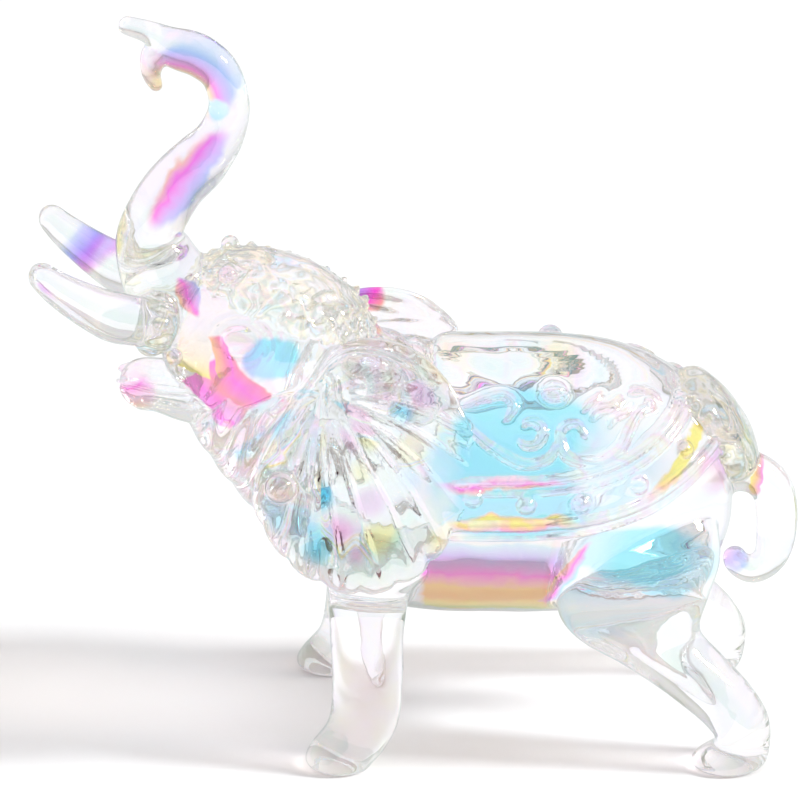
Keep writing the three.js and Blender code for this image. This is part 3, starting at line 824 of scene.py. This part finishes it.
def vector_node(tree, operation, *values):
    """A vector math node; each input is a socket or three numbers."""
    node = tree.nodes.new("ShaderNodeVectorMath")
    node.operation = operation
    for socket, value in zip(node.inputs, values):
        if isinstance(value, bpy.types.NodeSocket):
            tree.links.new(value, socket)
        else:
            socket.default_value = value
    return node.outputs["Value" if operation in ("LENGTH", "DISTANCE") else "Vector"]


def noise(tree, place, **values):
    """A noise texture at a place."""
    node = new_node(tree, "ShaderNodeTexNoise", **values)
    tree.links.new(place, node.inputs["Vector"])
    return node.outputs


def wandering(tree, place):
    """The place, moved a little by a slow noise, so that the edges of the patches wander."""
    shift = noise(tree, place, scale=0.16, detail=2.5, distortion=0.6)["Color"]
    moved = vector_node(tree, "MULTIPLY_ADD", shift, (2 * COAT_DRIFT,) * 3, place)
    return vector_node(tree, "SUBTRACT", moved, (COAT_DRIFT,) * 3)


def coating_group():
    """The coating's colour anywhere on the figurine, in a node group that all the glass shares."""
    tree = bpy.data.node_groups.new("coating", "ShaderNodeTree")
    tree.interface.new_socket("Color", in_out="OUTPUT", socket_type="NodeSocketColor")
    output = tree.nodes.new("NodeGroupOutput")
    metres = tree.nodes.new("ShaderNodeTexCoord").outputs["Object"]
    designed = vector_node(tree, "MULTIPLY_ADD", metres, (1 / MM,) * 3, tuple(-SHIFT))
    place = wandering(tree, designed)
    haze = noise(tree, designed, scale=0.07, detail=2.0, distortion=2.0)["Fac"]
    colour = colour_ramp(tree, HAZE, haze)
    left = remap(tree, coordinate(tree, designed, "Y"), 4, -4, FAR_SIDE_SHARE, 1.0)
    for centre, half, turn, way, names, edge in PATCHES:
        local, parts = local_place(tree, place, centre, half, turn)
        if edge < SQUARE:
            away = math_node(tree, "MAXIMUM", math_node(tree, "ABSOLUTE", parts["X"]),
                             math_node(tree, "ABSOLUTE", parts["Z"]))
        else:
            away = vector_node(tree, "LENGTH", local)
        inside = remap(tree, away, 1 + edge / 2, 1 - edge / 2, smooth=True)
        if half[1] == THROUGH:
            inside = math_node(tree, "MULTIPLY", inside, left)
        if way == "out":
            bend = vector_node(tree, "DISTANCE", designed, (TRUNK_BEND[0], 0, TRUNK_BEND[1]))
            along = remap(tree, bend, *TRUNK_BEND_REACH)
        else:
            along = remap(tree, parts[way.upper()], -1, 1)
        colour = mixed(tree, inside, colour, colour_ramp(tree, names, along))
    tree.links.new(fan_colours(tree, designed, colour), output.inputs["Color"])
    return tree


def fan_share(tree, place):
    """1 on the left ear's fan where the side that is met faces left, and 0 elsewhere."""
    local, _ = local_place(tree, place, FAN_CENTRE, FAN_HALF, 0)
    inside = remap(tree, vector_node(tree, "LENGTH", local), 1.0, 0.9, smooth=True)
    away = remap(tree, coordinate(tree, place, "Y"), -14, -17)
    facing = tree.nodes.new("ShaderNodeNewGeometry").outputs["Normal"]
    faces_left = remap(tree, coordinate(tree, facing, "Y"), -0.2, -0.5)
    return math_node(tree, "MULTIPLY", math_node(tree, "MULTIPLY", inside, away), faces_left)


def fan_colours(tree, place, colour):
    """The colour with soft spots of other colours laid along the left ear's ribs."""
    _, rooted = local_place(tree, place, (EAR_ROOT[0], 0, EAR_ROOT[1]), (1, 1, 1), 0)
    angle = math_node(tree, "ARCTAN2", rooted["X"], rooted["Z"])
    square = math_node(tree, "ADD", math_node(tree, "POWER", rooted["X"], 2.0),
                       math_node(tree, "POWER", rooted["Z"], 2.0))
    distance = math_node(tree, "POWER", square, 0.5)
    fan = tree.nodes.new("ShaderNodeCombineXYZ")
    tree.links.new(math_node(tree, "MULTIPLY", angle, EAR_RIDGES / (2 * math.pi)), fan.inputs["X"])
    tree.links.new(math_node(tree, "MULTIPLY", distance, 1 / FAN_SPOT), fan.inputs["Y"])
    spots = new_node(tree, "ShaderNodeTexVoronoi", scale=1.0, randomness=0.9, feature="SMOOTH_F1",
                     smoothness=0.3)
    tree.links.new(fan.outputs["Vector"], spots.inputs["Vector"])
    pick = coordinate(tree, spots.outputs["Color"], "X")
    colours = colour_ramp(tree, FAN_COLOURS, remap(tree, pick, 0.1, 0.9))
    soft = remap(tree, spots.outputs["Distance"], 0.62, 0.3, smooth=True)
    return mixed(tree, math_node(tree, "MULTIPLY", fan_share(tree, place), soft), colour, colours)


# ---------------------------------------------------------------- glass materials
def constant(tree, red, green, blue):
    """A plain colour as a socket."""
    node = tree.nodes.new("ShaderNodeRGB")
    node.outputs[0].default_value = (red, green, blue, 1)
    return node.outputs[0]


def with_specks_and_painted_glints(tree, place, colour, size, names, amount):
    """The colour with an amount of small specks of palette colours in it; with the glint colours, these are
    painted glints of light.
    """
    speck_and_glint_noise = noise(tree, place, scale=size, detail=1.5, distortion=1.0)["Fac"]
    colours = colour_ramp(tree, names, remap(tree, speck_and_glint_noise, 0.25, 0.75))
    share = remap(tree, speck_and_glint_noise, 0.0, 1.0, amount, amount)
    return mixed(tree, share, colour, colours)


def pressed_relief(tree, place, size, depth):
    """Normals of a fine relief of short strokes, depth in metres."""
    strokes = tree.nodes.new("ShaderNodeMapping")
    strokes.inputs["Rotation"].default_value = (0, math.radians(20), 0)
    strokes.inputs["Scale"].default_value = (1.0, 1.0, 0.4)
    tree.links.new(place, strokes.inputs["Vector"])
    grain = noise(tree, strokes.outputs["Vector"], scale=size, detail=0.0, distortion=0.8)["Fac"]
    bump = tree.nodes.new("ShaderNodeBump")
    bump.inputs["Distance"].default_value = depth
    tree.links.new(grain, bump.inputs["Height"])
    return bump.outputs["Normal"]


def see_through(tree, coat, rim):
    """What the glass lets into its shadow: a deep warm tint, and a darker line at its rims."""
    shader = tree.nodes.new("ShaderNodeBsdfTransparent")
    tint = tree.nodes.new("ShaderNodeMix")
    tint.data_type = "RGBA"
    tint.inputs["Factor"].default_value = 0.78
    tree.links.new(coat, tint.inputs["A"])
    tree.links.new(constant(tree, 0.26, 0.19, 0.15), tint.inputs["B"])
    edged = mixed(tree, rim, tint.outputs["Result"], constant(tree, 0.30, 0.30, 0.32))
    tree.links.new(edged, shader.inputs["Color"])
    return shader.outputs["BSDF"]


def glass(name, group, roughness=0.0, relief=None, specks_and_painted_glints=None):
    """Clear crystal whose coating tints what passes through it, with painted shade that darkens it towards
    its rims.
    """
    material = bpy.data.materials.new(name)
    material.use_nodes = True
    tree = material.node_tree
    nodes, links = tree.nodes, tree.links
    nodes.clear()
    output = nodes.new("ShaderNodeOutputMaterial")
    crystal = nodes.new("ShaderNodeBsdfPrincipled")
    crystal.inputs["Roughness"].default_value = roughness
    crystal.inputs["IOR"].default_value = 1.5
    crystal.inputs["Transmission Weight"].default_value = 1.0
    crystal.inputs["Thin Film Thickness"].default_value = 420.0
    crystal.inputs["Thin Film IOR"].default_value = 1.8

    coat = nodes.new("ShaderNodeGroup")
    coat.node_tree = group
    place = nodes.new("ShaderNodeTexCoord").outputs["Object"]
    colour = coat.outputs["Color"]
    # Specks of colour: painted glints of light on the clear glass, a random mottle on the textured glass.
    if specks_and_painted_glints:
        colour = with_specks_and_painted_glints(tree, place, colour, *specks_and_painted_glints)
    # Painted shade: where the surface is seen edge-on, its colour turns near black and draws dark lines along
    # the glass's rims.
    facing = nodes.new("ShaderNodeLayerWeight")
    facing.inputs["Blend"].default_value = 0.5
    rim = remap(tree, facing.outputs["Facing"], 0.62, 0.98)
    links.new(mixed(tree, rim, colour, constant(tree, 0.05, 0.05, 0.07)), crystal.inputs["Base Color"])
    if relief:
        links.new(pressed_relief(tree, place, *relief), crystal.inputs["Normal"])

    path = nodes.new("ShaderNodeLightPath")
    mix = nodes.new("ShaderNodeMixShader")
    links.new(path.outputs["Is Shadow Ray"], mix.inputs["Fac"])
    links.new(crystal.outputs["BSDF"], mix.inputs[1])
    links.new(see_through(tree, coat.outputs["Color"], rim), mix.inputs[2])
    links.new(mix.outputs["Shader"], output.inputs["Surface"])
    return material


def glass_materials():
    """The glass of each slot, and of the legs, which stay clear of specks and painted glints."""
    group = coating_group()
    return {
        # The clear glass carries painted glints: a quarter share of coloured specks that stand in for sparkle
        # of light.
        "clear_glass": glass("clear_glass", group, specks_and_painted_glints=(160, PAINTED_GLINTS, 0.25)),
        "iridescent_glass": glass("iridescent_glass", group),
        "leg_glass": glass("leg_glass", group),
        "textured_glass": glass("textured_glass", group, 0.02, (150, 0.0004), (170, TEXTURED, 0.95)),
    }


# ---------------------------------------------------------------- sharing the skin out again
# The pieces with no fine relief, besides the legs.
BROAD = ("body", "trunk", "saddle_blanket", "tail", "left_tusk", "right_tusk")


def calm_share(names, owner, quads, count):
    """1 for the points of the skin that only broad pieces use, and 0 for the others."""
    broad = [index for index, name in enumerate(names) if name in BROAD or name.endswith("_leg")]
    on_broad = np.isin(owner, broad)
    share = np.zeros(count)
    share[quads[on_broad].ravel()] = 1.0
    share[quads[~on_broad].ravel()] = 0.0
    return share[:, None]


def piece_mesh(name, co, normals, quads):
    """A mesh of some quads of the skin, with the whole skin's normals, so that no seam shows."""
    used, renumbered = np.unique(quads, return_inverse=True)
    renumbered = renumbered.reshape(-1, 4)
    mesh = bpy.data.meshes.new(name)
    mesh.vertices.add(len(used))
    mesh.vertices.foreach_set("co", co[used].ravel())
    mesh.loops.add(renumbered.size)
    mesh.loops.foreach_set("vertex_index", renumbered.ravel())
    mesh.polygons.add(len(renumbered))
    mesh.polygons.foreach_set("loop_start", np.arange(0, renumbered.size, 4))
    mesh.update(calc_edges=True)
    mesh.shade_smooth()
    mesh.normals_split_custom_set_from_vertices(normals[used])
    return mesh


def make_pieces():
    """Melts the forms, polishes the skin, and shares it out to one piece for each CAD node."""
    forms = all_forms()
    co, quads, edges, source_points, source_faces = melt(forms)
    co = relax(co, edges, 5)
    co = co + vertex_normals(co, quads) * (waviness(co / MM - SHIFT) * MM)[:, None]
    owner = without_islands(nearest_piece(co, quads, forms, source_points, source_faces), quads)
    co = relax(co, edges, 24, calm_share(forms, owner, quads, len(co)))
    normals = vertex_normals(co, quads)

    slots = {part["node"]: part["material_slot"] for part in frame["record"]["subparts"]}
    materials = glass_materials()
    for index, name in enumerate(forms):
        mesh = piece_mesh(f"{name}_glass", co, normals, quads[owner == index])
        mesh.materials.append(materials["leg_glass" if name.endswith("_leg") else slots[name]])
        piece = bpy.data.objects.new(f"{name}_glass", mesh)
        bpy.context.scene.collection.objects.link(piece)
        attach(piece, "root")
        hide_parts(name)


# ---------------------------------------------------------------- floor, light and camera
def floor():
    """A wide sheet of white paper."""
    half = 6.0
    mesh = bpy.data.meshes.new("floor")
    corners = [(-half, -half, 0), (half, -half, 0), (half, half, 0), (-half, half, 0)]
    mesh.from_pydata(corners, [], [(0, 1, 2, 3)])
    sheet = bpy.data.objects.new("floor", mesh)
    bpy.context.scene.collection.objects.link(sheet)
    material = bpy.data.materials.new("floor")
    material.use_nodes = True
    paper = material.node_tree.nodes["Principled BSDF"]
    paper.inputs["Base Color"].default_value = (0.92, 0.92, 0.92, 1)
    paper.inputs["Roughness"].default_value = 0.9
    paper.inputs["Specular IOR Level"].default_value = 0.1
    mesh.materials.append(material)


def sky():
    """White all round, a little darker low down and much darker in front, which gives the glass its lines."""
    world = bpy.data.worlds.new("studio")
    bpy.context.scene.world = world
    world.use_nodes = True
    tree = world.node_tree
    background = tree.nodes["Background"]
    background.inputs["Strength"].default_value = 0.75
    direction = tree.nodes.new("ShaderNodeTexCoord").outputs["Generated"]
    upward = remap(tree, coordinate(tree, direction, "Z"), 0.0, 0.16, 0.75, 1.0, smooth=True)
    backward = remap(tree, coordinate(tree, direction, "Y"), -0.8, -0.3, 0.45, 1.0, smooth=True)
    tree.links.new(math_node(tree, "MULTIPLY", upward, backward), background.inputs["Color"])


def key_light():
    """One soft lamp low on the right, whose shadows run to the left."""
    lamp = bpy.data.lights.new("key", "AREA")
    lamp.shape = "DISK"
    lamp.size = 0.5
    lamp.energy = 92.0
    key = bpy.data.objects.new("key", lamp)
    key.location = Vector((1.0, -0.12, 0.62)).normalized() * 3.0
    key.rotation_euler = (Vector((0, 0, 0.05)) - key.location).to_track_quat("-Z", "Y").to_euler()
    bpy.context.scene.collection.objects.link(key)


def camera():
    """Looks along +Y from 24 degrees up, a metre away."""
    elevation = math.radians(24)
    distance = 1.0
    seen_width = 0.160
    aim = Vector((SHIFT[0] * MM, SHIFT[1] * MM, 0.0711))
    data = bpy.data.cameras.new("camera")
    view = bpy.data.objects.new("camera", data)
    view.location = aim + Vector((0, -math.cos(elevation), math.sin(elevation))) * distance
    view.rotation_euler = Euler((math.pi / 2 - elevation, 0, 0))
    data.sensor_width = 36
    data.lens = data.sensor_width * distance / seen_width
    bpy.context.scene.collection.objects.link(view)
    bpy.context.scene.camera = view


floor()
sky()
key_light()
camera()
make_pieces()
scene = bpy.context.scene
scene.view_settings.view_transform = "Standard"
scene.cycles.max_bounces = 24
scene.cycles.transmission_bounces = 24
scene.cycles.glossy_bounces = 24
scene.cycles.transparent_max_bounces = 24
